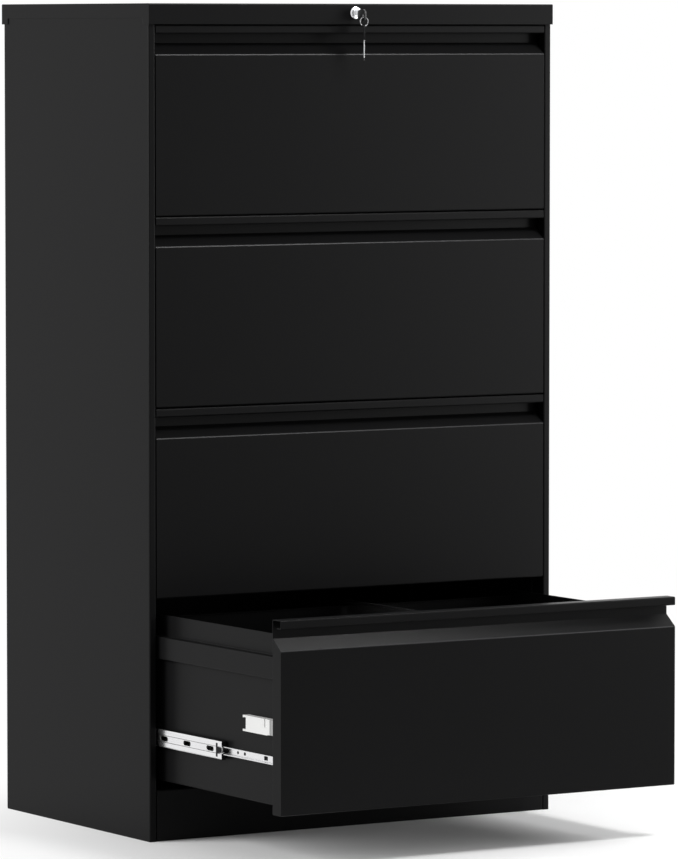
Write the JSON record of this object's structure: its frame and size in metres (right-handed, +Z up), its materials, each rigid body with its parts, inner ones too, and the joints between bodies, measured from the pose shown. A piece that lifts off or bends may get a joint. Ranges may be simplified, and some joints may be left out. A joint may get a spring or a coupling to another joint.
{
  "type": "lateral filing cabinet",
  "caption": "Tall black sheet-steel lateral filing cabinet with full-width pull-lip drawers on ball-bearing slides, hang rails, a cap lock and keys; bottom drawer open.",
  "frame": {"origin": "centre of the whole cabinet's footprint on the floor, with the bottom drawer standing open; the carcass centre is 189.2 mm behind it", "axes": "+Z up, +Y to the back of the cabinet, +X to the right as seen from the front; drawers open along -Y"},
  "size_m": [0.7626, 0.8664, 1.33],
  "materials": {
    "black_paint": "fine powder coat, satin black",
    "zinc_plate": "bright zinc plate",
    "lock_chrome": "polished",
    "white_plastic": "moulded",
    "black_plastic": "moulded"
  },
  "bodies": {
    "carcass": {"left_side_panel": "black_paint", "right_side_panel": "black_paint", "back_panel": "black_paint", "top_cap": "black_paint", "base_pan": "black_paint", "left_front_upright": "black_paint", "right_front_upright": "black_paint", "left_rear_upright": "black_paint", "right_rear_upright": "black_paint", "lock_housing": "lock_chrome", "drawer_1_left_outer_slide": "zinc_plate", "drawer_1_right_outer_slide": "zinc_plate", "drawer_2_left_outer_slide": "zinc_plate", "drawer_2_right_outer_slide": "zinc_plate", "drawer_3_left_outer_slide": "zinc_plate", "drawer_3_right_outer_slide": "zinc_plate", "drawer_4_left_outer_slide": "zinc_plate", "drawer_4_right_outer_slide": "zinc_plate"},
    "drawer_1": {"drawer_1_front": "black_paint", "drawer_1_tray": "black_paint", "drawer_1_hang_bar": "zinc_plate", "drawer_1_interlock_block": "white_plastic", "drawer_1_left_inner_slide": "zinc_plate", "drawer_1_right_inner_slide": "zinc_plate"},
    "drawer_2": {"drawer_2_front": "black_paint", "drawer_2_tray": "black_paint", "drawer_2_hang_bar": "zinc_plate", "drawer_2_interlock_block": "white_plastic", "drawer_2_left_inner_slide": "zinc_plate", "drawer_2_right_inner_slide": "zinc_plate"},
    "drawer_3": {"drawer_3_front": "black_paint", "drawer_3_tray": "black_paint", "drawer_3_hang_bar": "zinc_plate", "drawer_3_interlock_block": "white_plastic", "drawer_3_left_inner_slide": "zinc_plate", "drawer_3_right_inner_slide": "zinc_plate"},
    "drawer_4": {"drawer_4_front": "black_paint", "drawer_4_tray": "black_paint", "drawer_4_hang_bar": "zinc_plate", "drawer_4_interlock_block": "white_plastic", "drawer_4_left_inner_slide": "zinc_plate", "drawer_4_right_inner_slide": "zinc_plate"},
    "middle_slides_1": {"drawer_1_left_middle_slide": "zinc_plate", "drawer_1_right_middle_slide": "zinc_plate"},
    "middle_slides_2": {"drawer_2_left_middle_slide": "zinc_plate", "drawer_2_right_middle_slide": "zinc_plate"},
    "middle_slides_3": {"drawer_3_left_middle_slide": "zinc_plate", "drawer_3_right_middle_slide": "zinc_plate"},
    "middle_slides_4": {"drawer_4_left_middle_slide": "zinc_plate", "drawer_4_right_middle_slide": "zinc_plate"},
    "lock_plug": {"lock_plug": "lock_chrome", "key_in_lock": "black_plastic"},
    "lock_cross_bar": {"lock_cross_bar": "zinc_plate"},
    "lock_bar": {"lock_bar": "zinc_plate"},
    "front_left_foot": {"front_left_foot": "black_plastic"},
    "front_right_foot": {"front_right_foot": "black_plastic"},
    "rear_left_foot": {"rear_left_foot": "black_plastic"},
    "rear_right_foot": {"rear_right_foot": "black_plastic"}
  },
  "joints": [
    {"name": "drawer_1_slide", "type": "slide", "parent": "carcass", "child": "drawer_1", "axis": [0, -1, 0], "range_m": [0, 0.4]},
    {"name": "middle_slides_1_travel", "type": "slide", "parent": "carcass", "child": "middle_slides_1", "axis": [0, -1, 0], "range_m": [0, 0.2375]},
    {"name": "drawer_2_slide", "type": "slide", "parent": "carcass", "child": "drawer_2", "axis": [0, -1, 0], "range_m": [0, 0.4]},
    {"name": "middle_slides_2_travel", "type": "slide", "parent": "carcass", "child": "middle_slides_2", "axis": [0, -1, 0], "range_m": [0, 0.2375]},
    {"name": "drawer_3_slide", "type": "slide", "parent": "carcass", "child": "drawer_3", "axis": [0, -1, 0], "range_m": [0, 0.4]},
    {"name": "middle_slides_3_travel", "type": "slide", "parent": "carcass", "child": "middle_slides_3", "axis": [0, -1, 0], "range_m": [0, 0.2375]},
    {"name": "drawer_4_slide", "type": "slide", "parent": "carcass", "child": "drawer_4", "axis": [0, -1, 0], "range_m": [-0.3824, 0.0176]},
    {"name": "middle_slides_4_travel", "type": "slide", "parent": "carcass", "child": "middle_slides_4", "axis": [0, -1, 0], "range_m": [-0.22705, 0.0105]},
    {"name": "lock_turn", "type": "hinge", "parent": "carcass", "child": "lock_plug", "pos_m": [0, -0.0581, 1.3155], "axis": [0, 1, 0], "range_deg": [0, 90]},
    {"name": "cross_bar_travel", "type": "slide", "parent": "carcass", "child": "lock_cross_bar", "axis": [-1, 0, 0], "range_m": [0, 0.008]},
    {"name": "lock_bar_lift", "type": "slide", "parent": "carcass", "child": "lock_bar", "axis": [0, 0, 1], "range_m": [0, 0.008]},
    {"name": "front_left_foot_height", "type": "slide", "parent": "carcass", "child": "front_left_foot", "axis": [0, 0, -1], "range_m": [0, 0.02]},
    {"name": "front_right_foot_height", "type": "slide", "parent": "carcass", "child": "front_right_foot", "axis": [0, 0, -1], "range_m": [0, 0.02]},
    {"name": "rear_left_foot_height", "type": "slide", "parent": "carcass", "child": "rear_left_foot", "axis": [0, 0, -1], "range_m": [0, 0.02]},
    {"name": "rear_right_foot_height", "type": "slide", "parent": "carcass", "child": "rear_right_foot", "axis": [0, 0, -1], "range_m": [0, 0.02]}
  ],
  "couplings": [
    {"joint": "middle_slides_1_travel", "follows": "drawer_1_slide", "ratio": 0.59362},
    {"joint": "middle_slides_2_travel", "follows": "drawer_2_slide", "ratio": 0.59362},
    {"joint": "middle_slides_3_travel", "follows": "drawer_3_slide", "ratio": 0.59362},
    {"joint": "middle_slides_4_travel", "follows": "drawer_4_slide", "ratio": 0.59362},
    {"joint": "lock_turn", "follows": "lock_bar_lift", "rad_per_m": 196.35},
    {"joint": "cross_bar_travel", "follows": "lock_bar_lift", "ratio": 1}
  ]
}
